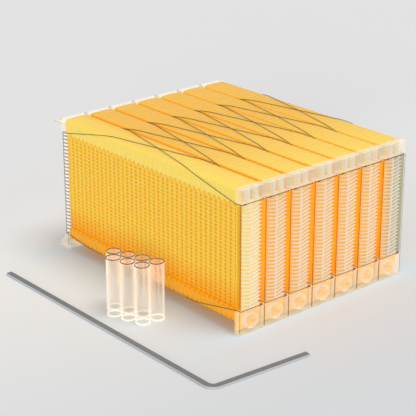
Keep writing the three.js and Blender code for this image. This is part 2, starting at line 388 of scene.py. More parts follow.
def clear_plastic(name, tint, haze, edge, roughness=0.12, rim=None, painted_emission=0.2, painted_reflections=None):
    """Clear plastic: faces seen edge-on hide more than faces seen square on, and a painted glow comes
    out all over. A rim is a level and the colour above it, painted shade on the tubes;
    painted_reflections, the colour of painted reflections in upright stripes that fade out towards the
    foot, which is painted lighter."""
    finish = Finish(name)
    facing = finish.node("ShaderNodeLayerWeight", {"Blend": 0.5}, "Facing")
    cloud = finish.noise(90, 2)
    hidden = haze + (edge - haze) * facing ** 2.6 + (cloud - 0.5) * 0.08
    colour = finish.blend(cloud, [c * 0.95 for c in tint], tint)
    height = finish.coordinate("Z")
    if painted_reflections:
        # Painted reflections: orange upright stripes of the comb that fade out towards the foot, and a
        # painted lighter, more opaque band at the foot.
        seen = finish.ramp(finish.noise(150, 2, (1, 1, 0.06)), 0.52, 0.68)
        seen = seen * finish.ramp(height, *REFLECTION_FADE)
        hidden = hidden + seen * 0.25 + finish.ramp(height, *FOOT_LIGHT_FADE) * 0.5
        colour = finish.blend(seen, colour, painted_reflections)
    if rim:
        # Painted shade: above the level the plastic hides what is behind and takes the rim's colour.
        level, rim_shade_colour = rim
        above = finish.ramp(height, level - RIM_SHADE_FADE, level)
        hidden = hidden + above
        colour = finish.blend(above, colour, rim_shade_colour)
    body = finish.surface(
        {
            "Base Color": colour,
            "Roughness": roughness + cloud * 0.06,
            "IOR": 1.49,
            "Coat Weight": 0.4,
            "Coat Roughness": 0.05,
            # Painted glow: the body emits its own colour.
            "Emission Color": colour,
            "Emission Strength": painted_emission,
            "Normal": finish.bump(finish.noise(240, 2), 0.08, 0.3 * MM),
        }
    )
    return finish.see_through(hidden, body)


def window_plastic(name, settings, hidden, hidden_last):
    """A thin sheet that picks up the comb's colour, less so at the pack's two sides: painted light makes
    the first frame's lighter, painted shade turns the last frame's grey-green, and a faint painted glow
    comes out all over.
    """
    finish = Finish(name)
    across = finish.coordinate("X")
    cloud = finish.noise(60, 3)
    # Painted light at the first frame and painted shade at the last.
    first = finish.ramp(across, -4.6 * HALF_PITCH, -5.2 * HALF_PITCH)
    last = finish.ramp(across, 5.6 * HALF_PITCH, 6.4 * HALF_PITCH)
    warm = finish.blend(cloud, [c * 0.94 for c in settings.window], settings.window)
    colour = finish.blend(last, finish.blend(first, warm, settings.painted_light_window), settings.side)
    body = finish.surface(
        {
            "Base Color": colour,
            "Roughness": 0.2 + cloud * 0.1,
            # Painted glow: the sheet faintly emits its own colour.
            "Emission Color": colour,
            "Emission Strength": 0.1,
        }
    )
    return finish.see_through(hidden + last * (hidden_last - hidden) + (cloud - 0.5) * 0.1, body)


def end_finishes(settings):
    """The finishes of an end frame, in the order of CLEAR, FROST_AND_HIGHLIGHT, SHADE, WINDOW, SOLID and WEB."""
    return [
        # Every finish here but the shaded edge has a painted glow.
        clear_plastic("clear wall", settings.tint, settings.haze, settings.edge, painted_emission=0.26),
        # Frosted ribs, also used for the painted highlight lines along the caps' top edges.
        clear_plastic("frosted rib", settings.frost_and_highlight_colour, settings.frost_haze, 0.8, 0.3, painted_emission=0.08),
        clear_plastic("shaded edge", settings.shade, 0.4, 0.6, 0.25, painted_emission=0),
        window_plastic("window", settings, 0.7, 0.6),
        clear_plastic("white rung", settings.frost_and_highlight_colour, 0.85, 0.95, 0.3, painted_emission=0.2),
        # Nearly clear, but a sheet of painted shade at the last frame.
        window_plastic("side web", settings, 0.04, 0.75),
    ]


def drawn_steel(name, colour, grain, roughness, metallic=1.0, side=None):
    """Steel with fine marks along the drawing direction and, if asked, upright sides painted brighter as a
    painted reflection.
    """
    finish = Finish(name)
    marks = finish.noise(900, 3, grain)
    wear = finish.noise(45, 4)
    base = finish.blend(marks * 0.6 + wear * 0.4, [c * 0.6 for c in colour], colour)
    if side:
        # Painted reflection: faces that stand upright take the lighter side colour.
        facing = finish.node("ShaderNodeNewGeometry", {}, "Normal")
        level = finish.node("ShaderNodeSeparateXYZ", {0: facing}, "Z").maths("ABSOLUTE")
        base = finish.blend(finish.ramp(level, 0.6, 0.3), base, side)
    return finish.done(
        finish.surface(
            {
                "Base Color": base,
                "Metallic": metallic,
                "Roughness": roughness + marks * 0.18,
                "Normal": finish.bump(marks, 0.15, 0.2 * MM),
            }
        )
    )


def floor_finish(settings):
    """A plain pale floor with painted shade: darker and cooler beside the pack and nearest the camera,
    against the warm light the pack throws, and a little darker far out.
    """
    finish = Finish("studio floor")
    cloud = finish.noise(3, 3)
    behind = finish.coordinate("Y")
    beyond = (finish.coordinate("X").maths("ABSOLUTE") - PACK_HALF.x).maths("MAXIMUM")
    ahead = ((behind - MIDDLE).maths("ABSOLUTE") - PACK_HALF.y).maths("MAXIMUM")
    away = (beyond * beyond + ahead * ahead * 25) ** 0.5
    # Painted shade: beside the pack (near), far out (far) and nearest the camera (front).
    near = finish.ramp(away, settings.shade_reach, 0) ** 2
    far = finish.ramp(away, 0.3, 1.4)
    front = finish.ramp(behind, 0.35, -0.2)
    plain = finish.blend(far * 0.9 + cloud * 0.1, settings.floor, [c * 0.95 for c in settings.floor])
    plain = finish.blend(front, plain, settings.floor_front_shade)
    return finish.done(
        finish.surface(
            {
                "Base Color": finish.blend(near, plain, settings.floor_beside_shade),
                "Roughness": 0.85,
                "Specular IOR Level": 0.1,
            }
        )
    )


# Mesh helpers

ALONG = Vector((0, 1, 0))


def to_mesh(bm, name):
    mesh = bpy.data.meshes.new(name)
    bm.to_mesh(mesh)
    bm.free()
    return mesh


def smoothed(mesh, sharp_degrees):
    mesh.shade_smooth()
    mesh.set_sharp_from_angle(angle=math.radians(sharp_degrees))
    return mesh


def mesh_from(bm, name):
    bmesh.ops.remove_doubles(bm, verts=bm.verts, dist=1e-7)
    bmesh.ops.recalc_face_normals(bm, faces=bm.faces)
    return smoothed(to_mesh(bm, name), 35)


def extruded(bm, points, shift):
    """A flat outline and the same outline shifted, joined into one closed body."""
    face = bm.faces.new([bm.verts.new(point) for point in points])
    grown = bmesh.ops.extrude_face_region(bm, geom=[face], use_keep_orig=True)
    moved = [item for item in grown["geom"] if isinstance(item, bmesh.types.BMVert)]
    bmesh.ops.translate(bm, vec=shift, verts=moved)


def bevelled(bm, edges, offset, segments):
    return bmesh.ops.bevel(
        bm, geom=edges, offset=offset, segments=segments, profile=0.5, affect="EDGES", material=-1
    )


def add_box(bm, low, high, bevel=0.0, segments=2):
    """A box between two corners. With a bevel, its edges are rounded off and its corners given back."""
    low, high = Vector(low), Vector(high)
    place = Matrix.Translation((low + high) / 2) @ Matrix.Diagonal((*(high - low), 1))
    corners = bmesh.ops.create_cube(bm, size=1, matrix=place)["verts"]
    if not bevel:
        return corners
    edges = dict.fromkeys(edge for vert in corners for edge in vert.link_edges)
    return bevelled(bm, list(edges), bevel, segments)["verts"]


def set_finish(bm, first, kind):
    """Give every face from the first on a finish, by its place in end_finishes."""
    bm.faces.ensure_lookup_table()
    for face in bm.faces[first:]:
        face.material_index = kind


def add_ring(bm, profile, centre, axis, segments, kind=CLEAR):
    """A closed outline of (radius, along) points, spun round an axis through centre."""
    before = len(bm.faces)
    side = axis.orthogonal().normalized()
    verts = [bm.verts.new(centre + side * radius + axis * along) for radius, along in profile]
    edges = [bm.edges.new(pair) for pair in zip(verts, verts[1:] + verts[:1])]
    bmesh.ops.spin(
        bm, geom=verts + edges, cent=centre, axis=axis, angle=math.tau, steps=segments,
        use_merge=True, use_duplicate=False,
    )
    set_finish(bm, before, kind)


def add_collar(bm, centre, radius, thickness, start, end, segments, kind=CLEAR):
    """A plain ring along the frame, from start to end."""
    outer = radius + thickness
    profile = [(radius, start), (outer, start), (outer, end), (radius, end)]
    add_ring(bm, profile, centre, ALONG, segments, kind)


def add_object(name, data):
    made = bpy.data.objects.new(name, data)
    bpy.context.scene.collection.objects.link(made)
    return made


def add_piece(name, mesh, materials, body, replaced, offset):
    """One finished object at the origin, riding on its CAD body in place of its CAD node."""
    data = mesh.copy()
    data.name = name
    data.transform(Matrix.Translation(offset))
    for material in materials:
        data.materials.append(material)
    piece = add_object(name, data)
    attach(piece, body)
    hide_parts(replaced)


def add_row(kind, mesh, materials, body, node):
    """One piece in each frame."""
    for number in NUMBERS:
        add_piece(
            f"{kind}_{number}", mesh, materials, f"{body}_{number}", f"{node}_{number}",
            (frame_offset(number), 0, 0),
        )


# Comb

SHOULDER_STEPS = 6
WALL_ROOT = 0.3 * MM
CORE_LAP = 1 * MM
TOOTH_ROUND = 0.36


def slice_pitch(settings):
    return (FIXED_HIGH.y - FIXED_LOW.y + settings.gap) / settings.slices


def wall_outline(settings, width, whole):
    """One cell wall seen from its mouth: a level rib that forks at both ends."""
    half_wall = settings.wall / 2
    corner = slice_pitch(settings) / 3
    steep = settings.row / 2 / corner
    spread = half_wall * math.hypot(1, steep) / steep
    knee = corner - spread + half_wall / steep
    cut = width / 2
    side = [(knee, half_wall), (cut, (cut - corner + spread) * steep)]
    if whole:
        side += [(cut, (cut - corner - spread) * steep), (corner + spread, 0)]
        side += [(y, -z) for y, z in reversed(side[:3])]
    else:
        side += [(y, -z) for y, z in reversed(side)]
    return side + [(-y, -z) for y, z in side]


def band_outline(outer, inner, half, shoulder):
    """A band's section, round along the two edges that face away from the cells."""
    away = math.copysign(1, outer - inner)
    points = [(-half, inner), (half, inner)]
    for step in range(SHOULDER_STEPS + 1):
        turn = math.pi / 2 * step / SHOULDER_STEPS
        points.append(
            (half - shoulder * (1 - math.cos(turn)), outer - away * shoulder * (1 - math.sin(turn)))
        )
    return points + [(-x, z) for x, z in reversed(points[2:])]


def crosses_at(edge, level):
    """Whether an edge lies at a level and runs straight across the frame."""
    one, other = (vert.co for vert in edge.verts)
    near = 0.001 * MM
    return max(abs(one.z - level), abs(other.z - level), abs(one.y - other.y)) < near


def add_bands(bm, settings, start, width, moving):
    """A slice's solid head and foot. A moving slice's reach farther and end in round teeth."""
    drop = settings.relief if moving else 0
    half = (FIXED_HIGH.x - FIXED_LOW.x) / 2 - drop
    tooth = settings.tooth if moving else 0
    foot = FIXED_LOW.z + (settings.travel if moving else 0)
    bands = (
        (TOP - drop, TOP - settings.upper_band - tooth),
        (foot, FIXED_LOW.z + settings.lower_band + tooth),
    )
    for outer, inner in bands:
        outline = band_outline(outer, inner, half, settings.shoulder)
        extruded(bm, [(x, start, z) for x, z in outline], (0, width, 0))
        if moving:
            edges = [edge for edge in bm.edges if crosses_at(edge, inner)]
            bevelled(bm, edges, width * TOOTH_ROUND, 2)


def slice_mesh(settings, moving):
    """One slice, standing with its front face at Y = 0: a core, cell walls on both faces and two bands."""
    width = slice_pitch(settings) - settings.gap
    mouth = settings.mouth / 2 - (0 if moving else settings.recess)
    depth = settings.shallow if moving else settings.deep_cell
    core = mouth - depth
    low, high = FIXED_LOW.z + settings.lower_band, TOP - settings.upper_band
    slope = math.tan(settings.tilt)
    bm = bmesh.new()
    outline = wall_outline(settings, width, not moving)
    root = core - WALL_ROOT
    shift = settings.row / 2 if moving else 0
    for row in range(settings.rows):
        level = low + row * settings.row + shift
        for side in (1, -1):
            points = [(side * root, width / 2 + y, level + z) for y, z in outline]
            extruded(bm, points, (side * (mouth - root), 0, slope * (mouth - root)))
    add_box(bm, (-core, 0, low - CORE_LAP), (core, width, high + CORE_LAP))
    trim = settings.gap / 2
    add_bands(bm, settings, trim, width - 2 * trim, moving)
    bmesh.ops.recalc_face_normals(bm, faces=bm.faces)
    return to_mesh(bm, "slice")


def stacked_slices(settings, moving):
    """Every second slice of a frame, in its place along the frame, with flat plates at the two ends."""
    one = slice_mesh(settings, moving)
    bm = bmesh.new()
    for index in range(1 if moving else 0, settings.slices, 2):
        start = len(bm.verts)
        bm.from_mesh(one)
        bm.verts.ensure_lookup_table()
        bmesh.ops.translate(
            bm, vec=(0, FIXED_LOW.y + index * slice_pitch(settings), 0), verts=bm.verts[start:]
        )
    bpy.data.meshes.remove(one)
    if not moving:
        low = FIXED_LOW.z + settings.lower_band - CORE_LAP
        high = TOP - settings.upper_band + CORE_LAP
        half, plate = settings.mouth / 2, settings.plate
        add_box(bm, (-half, FIXED_LOW.y, low), (half, FIXED_LOW.y + plate, high))
        add_box(bm, (-half, FIXED_HIGH.y - plate, low), (half, FIXED_HIGH.y, high))
    return smoothed(to_mesh(bm, "slices"), 25)


# Clear end frames. Places are measured from the front face, the rear face or a block's edge.

# Cap and foot blocks, the cap's slot and the foot's outlet
BLOCK_CLEAR = 0.15 * MM
CAP_ROUND, FOOT_ROUND, PLATE_ROUND, FLOOR_ROUND = 1.8 * MM, 1 * MM, 0.5 * MM, 0.4 * MM
SLOT_DROP, SLOT_FRAME, SLOT_HALF = 12 * MM, 4 * MM, (6 * MM, 7 * MM)
SLOT_WALLS, SLOT_WALL_START = ((6.4 * MM, 7.4 * MM), (8.6 * MM, 10 * MM)), 0.3 * MM
BORE_CLEAR, BORE_CUTS, BORE_SIDES = 0.3 * MM, 11, 48
COLLAR, COLLAR_STEP, COLLAR_PLACE = 1 * MM, 3 * MM, (-3 * MM, -2 * MM)

# Ribs, and the sheets behind and beside them
RIB_SLOPE = math.tan(math.radians(12))
RIB_MARGINS, DIVIDER_LAP = (1.5 * MM, 4.5 * MM), 1 * MM
RIB_RECESS, RIB_DEPTH, FRONT_ROWS = 2 * MM, 5 * MM, 28
REAR_RECESS, REAR_RIB_DEPTH, REAR_ROWS = 5 * MM, 7 * MM, 29
WINDOW_INSET, WINDOW_PLACE = 1.5 * MM, (6.5 * MM, 7.3 * MM)
WEB_THICKNESS, WEB_START = 0.6 * MM, 2.2 * MM

# Painted shade strips and frosted lines along edges, by their width and depth; the lines along the caps'
# top edges are painted highlights
EDGE_STRIP, REAR_STRIP = (0.4 * MM, 0.8 * MM), (0.9 * MM, 1.5 * MM)
FOOT_STRIP, FOOT_STRIP_RISE, STRIP_PROUD = (0.7 * MM, 1 * MM), (3 * MM, 1 * MM), 0.1 * MM
TOP_HIGHLIGHTS, TOP_HIGHLIGHT = (0.4 * MM, -1.6 * MM), (1.2 * MM, 1.3 * MM)
TOP_HIGHLIGHT_INSET, TOP_HIGHLIGHT_DROP = 2 * MM, 0.02 * MM
CAP_LINE_INSET, CAP_LINE_PLACE, CAP_LINE_RISE = 1 * MM, (0.3 * MM, 1.3 * MM), (0.2 * MM, 1.4 * MM)
CORNER_SHADE = ((2 * MM, 0), (-3.5 * MM, -1 * MM), (-2.2 * MM, -0.4 * MM))

# The rear's rungs, lug and foot fins
RUNG_START, RUNG_MARGIN, RUNG_REACH = 6.5 * MM, 6 * MM, 0.5 * MM
RUNG, RUNG_HEIGHT = (4 * MM, 1.4 * MM), 3.2 * MM
RUNG_SHADE, RUNG_SHADE_RISE = (4.4 * MM, 2 * MM), (3.7 * MM, 5.7 * MM)
LUG_DROP, LUG_HEIGHT, LUG_HALF = 10.5 * MM, 2.5 * MM, 22 * MM
LUG_EDGE, LUG_EDGE_DROP = (21.3 * MM, 22.1 * MM), (0.9 * MM, -0.1 * MM)
TOE, TOE_HEIGHT, HEEL = 15 * MM, 5 * MM, -4 * MM
FIN_SHADE, FIN_SHADE_PLACE, FIN_SHADE_START = 1 * MM, (4 * MM, 6 * MM), 6 * MM

# Trough and plug
TROUGH_INSET, TROUGH_PLACE, TROUGH_RISE = 1.8 * MM, (-3.6 * MM, -1.9 * MM), (5 * MM, -1.8 * MM)
TROUGH_RINGS, TROUGH_RING, TROUGH_RING_PLACE = (5 * MM, 9 * MM), 0.8 * MM, (-4.6 * MM, -3 * MM)
PLUG_WALL, PLUG_HOLE, PLUG_LIP, PLUG_SIDES = 1.2 * MM, 0.4 * MM, 0.3 * MM, 40
PLUG_RINGS, PLUG_RING, PLUG_RING_START = (0.32, 0.66), 0.8 * MM, 1.2 * MM
RING_SIDES = 32
PLUG_RADIUS = (PLUG_HIGH.x - PLUG_LOW.x) / 2
OUTLET_HEIGHT = (PLUG_LOW.z + PLUG_HIGH.z) / 2


def shifted(start, pair):
    return start + pair[0], start + pair[1]


def span_box(bm, across, along, up, kind=CLEAR, bevel=0.2 * MM):
    """A box given by its spans, in one of the end frame's finishes."""
    before = len(bm.faces)
    low, high = zip(sorted(across), along, up)
    add_box(bm, low, high, bevel)
    set_finish(bm, before, kind)


def side_box(bm, side, across, along, up, kind=CLEAR, bevel=0.2 * MM):
    """The same on one side of the frame's middle."""
    span_box(bm, [side * place for place in across], along, up, kind, bevel)


def add_ribs(bm, settings, along, low_end, high_end, count):
    """Ribs that slope up from the divider to both sides, like the cells behind them."""
    bottom, top = low_end + RIB_MARGINS[0], high_end - RIB_MARGINS[1]
    pitch = (top - bottom) / count
    for row in range(count):
        low = bottom + row * pitch
        for side in (1, -1):
            start = len(bm.verts)
            side_box(bm, side, (0, settings.rib_reach), along, (low, low + settings.rib), FROST_AND_HIGHLIGHT, 0)
            bm.verts.ensure_lookup_table()
            for vert in bm.verts[start:]:
                vert.co.z += abs(vert.co.x) * RIB_SLOPE
    half = settings.rib / 3
    span_box(bm, (-half, half), along, (bottom, top + DIVIDER_LAP), FROST_AND_HIGHLIGHT)


def square_opening(bm, front, centre, half_sizes):
    """Shrink a block's front face into a slot, and give the faces that now surround it."""
    inset = bmesh.ops.inset_region(bm, faces=[front], thickness=SLOT_FRAME, use_even_offset=True)
    for vert in front.verts:
        vert.co.x = centre.x + math.copysign(half_sizes[0], vert.co.x - centre.x)
        vert.co.z = centre.z + math.copysign(half_sizes[1], vert.co.z - centre.z)
    bmesh.ops.delete(bm, geom=[front], context="FACES_ONLY")
    return inset["faces"]


def round_opening(bm, front, shell, centre, radius):
    """Replace a block's front face by a wall with a bore, and give that wall's faces."""
    rim = list(front.edges)
    bmesh.ops.delete(bm, geom=[front], context="FACES_ONLY")
    bmesh.ops.subdivide_edges(bm, edges=rim, cuts=BORE_CUTS)
    rim = [edge for edge in bm.edges if edge.is_boundary and edge.link_faces[0] in shell]
    drawn = bmesh.ops.extrude_edge_only(bm, edges=rim)["geom"]
    for vert in (item for item in drawn if isinstance(item, bmesh.types.BMVert)):
        away = Vector((vert.co.x - centre.x, vert.co.z - centre.z)).normalized() * radius
        vert.co.x, vert.co.z = centre.x + away.x, centre.z + away.y
    return [item for item in drawn if isinstance(item, bmesh.types.BMFace)]


def add_shell(bm, low, high, skin, bevel, centre, slot=None, bore=None):
    """A hollow block with round edges and a hole in its front: a slot's half sizes or a bore's radius."""
    rounded = add_box(bm, low, high, bevel, 3)
    shell = {face for vert in rounded for face in vert.link_faces}
    front = min(shell, key=lambda face: face.normal.y * face.calc_area())
    shell.discard(front)
    if slot:
        shell.update(square_opening(bm, front, centre, slot))
    else:
        shell.update(round_opening(bm, front, shell, centre, bore))
    faces = [face for face in bm.faces if face in shell]
    bmesh.ops.recalc_face_normals(bm, faces=faces)
    bmesh.ops.solidify(bm, geom=faces, thickness=skin)


def front_end_mesh(settings):
    bm = bmesh.new()
    skin, half, foot = settings.skin, HALF_PITCH - BLOCK_CLEAR, settings.foot
    back = FRONT + END_DEPTH
    cap_low = TOP - settings.cap
    upright = (foot, cap_low)
    slot_centre = Vector((0, 0, TOP - SLOT_DROP))
    bore = PLUG_RADIUS + BORE_CLEAR
    outlet = Vector((0, 0, OUTLET_HEIGHT))
    add_shell(
        bm, (-half, FRONT, cap_low), (half, back, TOP), skin, CAP_ROUND, slot_centre, slot=SLOT_HALF
    )
    add_shell(bm, (-half, FRONT, 0), (half, back, foot), skin, FOOT_ROUND, outlet, bore=bore)
    add_collar(bm, outlet, bore, COLLAR, FRONT, back, BORE_SIDES, FROST_AND_HIGHLIGHT)
    rear_collar = shifted(back, COLLAR_PLACE)
    add_collar(bm, outlet, bore + COLLAR_STEP, COLLAR, *rear_collar, BORE_SIDES, FROST_AND_HIGHLIGHT)
    rib_place = (FRONT + RIB_RECESS, FRONT + RIB_RECESS + RIB_DEPTH)
    add_ribs(bm, settings, rib_place, foot, cap_low, FRONT_ROWS)
    window = settings.rib_reach - WINDOW_INSET
    span_box(bm, (-window, window), shifted(FRONT, WINDOW_PLACE), upright, WINDOW)
    # A web on the frame's side: nearly clear, but painted shade at the last frame.
    span_box(bm, (half - WEB_THICKNESS, half), (FRONT + WEB_START, back), upright, WEB)
    for side in (1, -1):
        for across in SLOT_WALLS:
            along = (FRONT + SLOT_WALL_START, back - skin)
            side_box(bm, side, across, along, (cap_low + skin, TOP - skin), FROST_AND_HIGHLIGHT)
        # Painted shade: dark strips down the front edges of the side and of the foot block.
        wide, deep = EDGE_STRIP
        side_box(bm, side, (half - wide, half), (FRONT, FRONT + deep), upright, SHADE)
        wide, deep = FOOT_STRIP
        side_box(
            bm, side, (half - wide, half + STRIP_PROUD), (FRONT, FRONT + deep),
            (FOOT_STRIP_RISE[0], foot - FOOT_STRIP_RISE[1]), SHADE,
        )
    # Painted highlights: white lines along the cap's top front and back edges.
    inset = half - TOP_HIGHLIGHT_INSET
    for start in (FRONT + TOP_HIGHLIGHTS[0], back + TOP_HIGHLIGHTS[1]):
        span_box(
            bm, (-inset, inset), (start, start + TOP_HIGHLIGHT[0]),
            (TOP - TOP_HIGHLIGHT[1], TOP - TOP_HIGHLIGHT_DROP), FROST_AND_HIGHLIGHT,
        )
    inset = half - CAP_LINE_INSET
    span_box(
        bm, (-inset, inset), shifted(FRONT, CAP_LINE_PLACE), shifted(cap_low, CAP_LINE_RISE), FROST_AND_HIGHLIGHT
    )
    return mesh_from(bm, "front end")


def add_rungs(bm, half, inside, wall, foot, cap_low):
    """White rungs with painted shade in the gaps between them, on both sides of the rear ribs."""
    pitch = (cap_low - RUNG_MARGIN - foot) / REAR_ROWS
    along = (inside, wall + RUNG_REACH)
    for side in (1, -1):
        wide, deep = REAR_STRIP
        side_box(bm, side, (half - wide, half), (wall - deep, wall), (foot, cap_low), SHADE)
        for row in range(REAR_ROWS):
            low = foot + RUNG_START + row * pitch
            side_box(bm, side, (half - RUNG[0], half - RUNG[1]), along, (low, low + RUNG_HEIGHT), SOLID)
            across = (half - RUNG_SHADE[0], half - RUNG_SHADE[1])
            side_box(bm, side, across, along, shifted(low, RUNG_SHADE_RISE), SHADE)


def rear_end_mesh(settings):
    bm = bmesh.new()
    skin, half, foot = settings.skin, HALF_PITCH - BLOCK_CLEAR, settings.rear_foot
    inside = REAR - END_DEPTH
    cap_low = TOP - settings.cap
    wall = REAR - REAR_RECESS
    add_ribs(bm, settings, (wall - REAR_RIB_DEPTH, wall), foot, cap_low, REAR_ROWS)
    add_rungs(bm, half, inside, wall, foot, cap_low)
    for low, high in (
        ((-half, inside, TOP - skin), (half, REAR, TOP)),
        ((-half, inside, cap_low), (half, REAR, cap_low + skin)),
        ((-half, REAR - skin, cap_low), (half, REAR, TOP)),
    ):
        add_box(bm, low, high, PLATE_ROUND)
    shade_across, shade_along, shade_up = CORNER_SHADE
    for side in (1, -1):
        side_box(bm, side, (half - skin, half), (inside, REAR), (cap_low, TOP), CLEAR, PLATE_ROUND)
        across = (half - shade_across[0], half - shade_across[1])
        side_box(bm, side, across, shifted(REAR, shade_along), shifted(TOP, shade_up), SHADE)
    lug = TOP - LUG_DROP
    span_box(bm, (-LUG_HALF, LUG_HALF), (REAR - skin, REAR_REACH), (lug - LUG_HEIGHT, lug))
    for side in (1, -1):
        up = (lug - LUG_EDGE_DROP[0], lug - LUG_EDGE_DROP[1])
        side_box(bm, side, LUG_EDGE, (REAR, REAR_REACH), up, SHADE)
    toe, heel = REAR + TOE, REAR + HEEL
    for x in (-half, -skin / 2, half - skin):
        outline = [(inside, 0), (toe, 0), (toe, TOE_HEIGHT), (heel, foot), (inside, foot)]
        extruded(bm, [(x, y, z) for y, z in outline], (skin, 0, 0))
    for side in (1, -1):
        across = (half - skin - FIN_SHADE, half - skin)
        side_box(bm, side, across, shifted(inside, FIN_SHADE_PLACE), (FIN_SHADE_START, foot), SHADE)
    add_box(bm, (-half, inside, 0), (half, toe, skin), FLOOR_ROUND)
    add_box(bm, (-half, inside, foot - skin), (half, heel, foot), FLOOR_ROUND)
    return mesh_from(bm, "rear end")


def trough_mesh(settings):
    """The honey trough behind the outlet: a warm lip that shows through the clear foot."""
    bm = bmesh.new()
    half = HALF_PITCH - TROUGH_INSET
    back = FRONT + END_DEPTH
    up = (TROUGH_RISE[0], settings.foot + TROUGH_RISE[1])
    span_box(bm, (-half, half), shifted(back, TROUGH_PLACE), up)
    outlet = Vector((0, 0, OUTLET_HEIGHT))
    for radius in TROUGH_RINGS:
        add_collar(bm, outlet, radius, TROUGH_RING, *shifted(back, TROUGH_RING_PLACE), RING_SIDES)
    return mesh_from(bm, "trough")


def plug_mesh():
    """A cup-shaped plug with a rim and rings moulded in its face."""
    bm = bmesh.new()
    centre = Vector((0, PLUG_LOW.y, OUTLET_HEIGHT))
    depth = PLUG_HIGH.y - PLUG_LOW.y
    floor = depth - PLUG_WALL
    inner = PLUG_RADIUS - PLUG_WALL
    middle = PLUG_RADIUS - PLUG_WALL / 2
    profile = [
        (PLUG_HOLE, depth), (PLUG_HOLE, floor), (inner, floor), (inner, PLUG_LIP), (middle, 0),
        (PLUG_RADIUS, PLUG_LIP), (PLUG_RADIUS, depth),
    ]
    add_ring(bm, profile, centre, ALONG, PLUG_SIDES)
    for share in PLUG_RINGS:
        radius = PLUG_RADIUS * share
        add_collar(bm, centre, radius, PLUG_RING, PLUG_RING_START, floor, RING_SIDES)
    return mesh_from(bm, "plug")


# Wires

WIRE_LIFT = 0.3 * MM
WIRE_CLEAR = 0.4 * MM
WIRE_ENTRY = 22.5 * MM
WIRE_INSET = END_DEPTH - 0.6 * MM
ANCHOR_LIFT = 1.6 * MM
SLEEVE_HALF = 2.4 * MM
TOP_CRIMP, LOW_CRIMP = -16.5 * MM, 18 * MM


def over_the_band(settings, hand, outer, away, shoulder, reach):
    """Half a strand, from mid-frame over the band's round shoulder and down its side.

    A taut wire is straight on the unrolled band, so its place along the frame follows the distance
    that it has run across the band."""
    off = settings.radius + WIRE_LIFT
    side = (FIXED_HIGH.x - FIXED_LOW.x) / 2
    flat = side - shoulder
    turn = (shoulder + off) * math.pi / 2
    drop = abs(outer - reach[1]) - shoulder
    whole = flat + turn + drop
    points = [(0, 0, outer + away * (off + (1 + hand) * settings.radius))]
    for step in range(SHOULDER_STEPS + 1):
        angle = math.pi / 2 * step / SHOULDER_STEPS
        run = (flat + turn * step / SHOULDER_STEPS) / whole
        points.append(
            (
                flat + (shoulder + off) * math.sin(angle),
                run * reach[0],
                outer - away * (shoulder - (shoulder + off) * math.cos(angle)),
            )
        )
    return points + [(side + off, reach[0], reach[1])]


def wire_route(settings, hand, outer, away, shoulder, anchors, ends):
    """The points of one strand, from its front anchor, over the comb, to its rear anchor."""
    half = MIDDLE - FRONT - WIRE_INSET
    halves = []
    for turned, anchor in ((-1, anchors[0]), (1, anchors[1])):
        points = over_the_band(settings, hand, outer, away, shoulder, (half, anchor))
        halves.append([(turned * hand * x, MIDDLE + turned * y, z) for x, y, z in points])
    front, rear = ends
    entry = hand * WIRE_ENTRY
    return (
        [(-entry, front, anchors[0]), (-entry, FRONT + END_DEPTH / 2, anchors[0])]
        + halves[0][::-1]
        + halves[1][1:]
        + [(entry, REAR - END_DEPTH / 2, anchors[1]), (entry, rear, anchors[1])]
    )


def add_spline(curve, points, radius=1.0):
    spline = curve.splines.new("POLY")
    spline.points.add(len(points) - 1)
    for point, place in zip(spline.points, points):
        point.co = (*place, 1)
        point.radius = radius


def wire_mesh(settings, outer, away, shoulder, anchors, crimp):
    """A loop in a figure of eight, with a crimped sleeve on its front run."""
    curve = bpy.data.curves.new("wire", "CURVE")
    curve.dimensions = "3D"
    curve.bevel_depth = settings.radius
    curve.bevel_resolution = 2
    curve.use_fill_caps = True
    front = FRONT + RIB_RECESS - settings.radius - WIRE_CLEAR
    rear = REAR - REAR_RECESS + settings.radius + WIRE_CLEAR
    for hand in (1, -1):
        add_spline(curve, wire_route(settings, hand, outer, away, shoulder, anchors, (front, rear)))
    for place, anchor in ((front, anchors[0]), (rear, anchors[1])):
        add_spline(curve, [(-WIRE_ENTRY, place, anchor), (WIRE_ENTRY, place, anchor)])
    sleeve = [(crimp + hand * SLEEVE_HALF, front, anchors[0]) for hand in (-1, 1)]
    add_spline(curve, sleeve, 2.0)
    holder = bpy.data.objects.new("wire", curve)
    mesh = bpy.data.meshes.new_from_object(holder)
    bpy.data.objects.remove(holder)
    bpy.data.curves.remove(curve)
    return mesh


# Tubes and key

TUBE_LIP = 0.35 * MM
TUBE_SIDES = 64
RIM_SHADE_HEIGHT = 1.1 * MM
# Colour of the painted reflections of the comb in the tubes.
TUBE_REFLECTIONS = (0.95, 0.6, 0.3)


def tube_mesh(settings):
    bm = bmesh.new()
    radius = (TUBE_HIGH.x - TUBE_LOW.x) / 2
    length = TUBE_HIGH.z - TUBE_LOW.z
    bore = radius - settings.tube_wall
    lip = TUBE_LIP
    profile = [
        (bore, lip), (bore + lip, 0), (radius - lip, 0), (radius, lip),
        (radius, length - lip), (radius - lip, length), (bore + lip, length), (bore, length - lip),
    ]
    add_ring(bm, profile, Vector((0, 0, 0)), Vector((0, 0, 1)), TUBE_SIDES)
    return mesh_from(bm, "tube")


# Operators

FLOOR_HALF = 20
FLOOR_DROP = 0.2 * MM
OVERHEAD_FROM = (0.15, -0.3, 0.94)
LOW_FROM = (-0.75, -0.6, 0.2)
SUN_WIDTH = math.radians(30)


